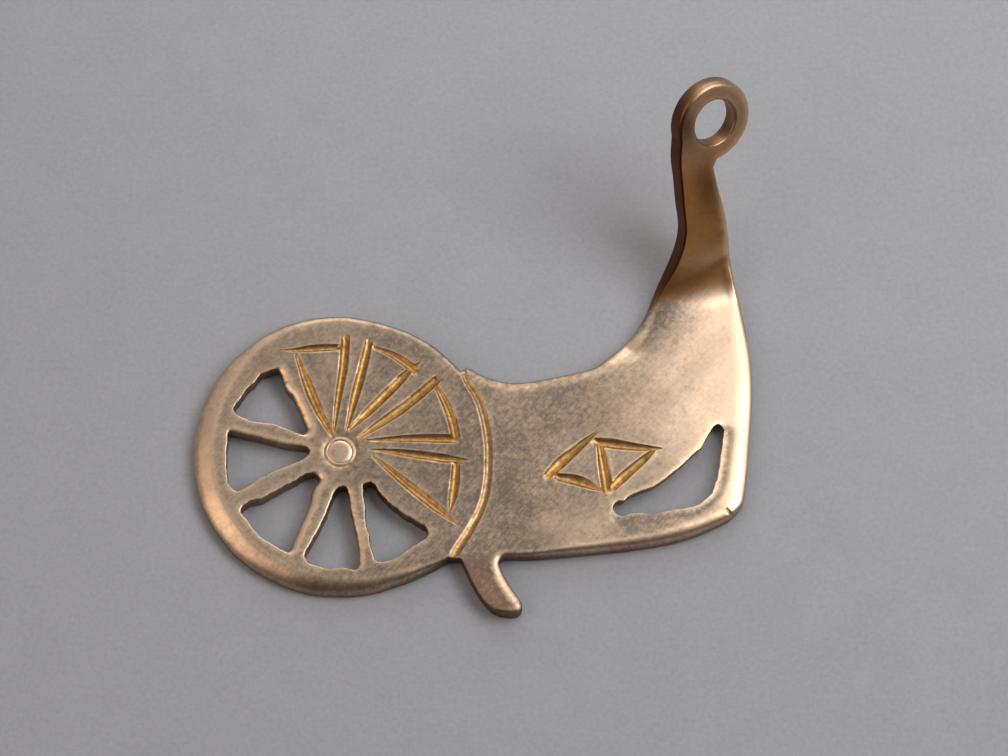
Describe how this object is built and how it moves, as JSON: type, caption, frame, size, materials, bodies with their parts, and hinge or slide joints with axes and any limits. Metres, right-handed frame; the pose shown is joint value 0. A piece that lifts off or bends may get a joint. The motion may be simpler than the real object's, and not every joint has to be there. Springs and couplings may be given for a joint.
{
  "type": "sheet-metal milagro charm",
  "caption": "Flat brass charm in the outline of a one-wheeled barrow, with sawn windows, engraved lines, a hub pin and a neck folded up into a drilled hanging loop.",
  "frame": {"origin": "on the wheel's hub axis, on the plate's flat back face", "axes": "+X from the hub towards the body's right end, +Y from the prop leg towards the hanging loop, +Z out of the engraved face, the way the neck is folded"},
  "size_m": [0.0249, 0.0224, 0.0088],
  "materials": {
    "plate_brass": "worn satin",
    "pin_brass": "worn satin"
  },
  "bodies": {
    "root": {"charm_plate": "plate_brass", "axle_pin": "pin_brass"}
  },
  "joints": []
}
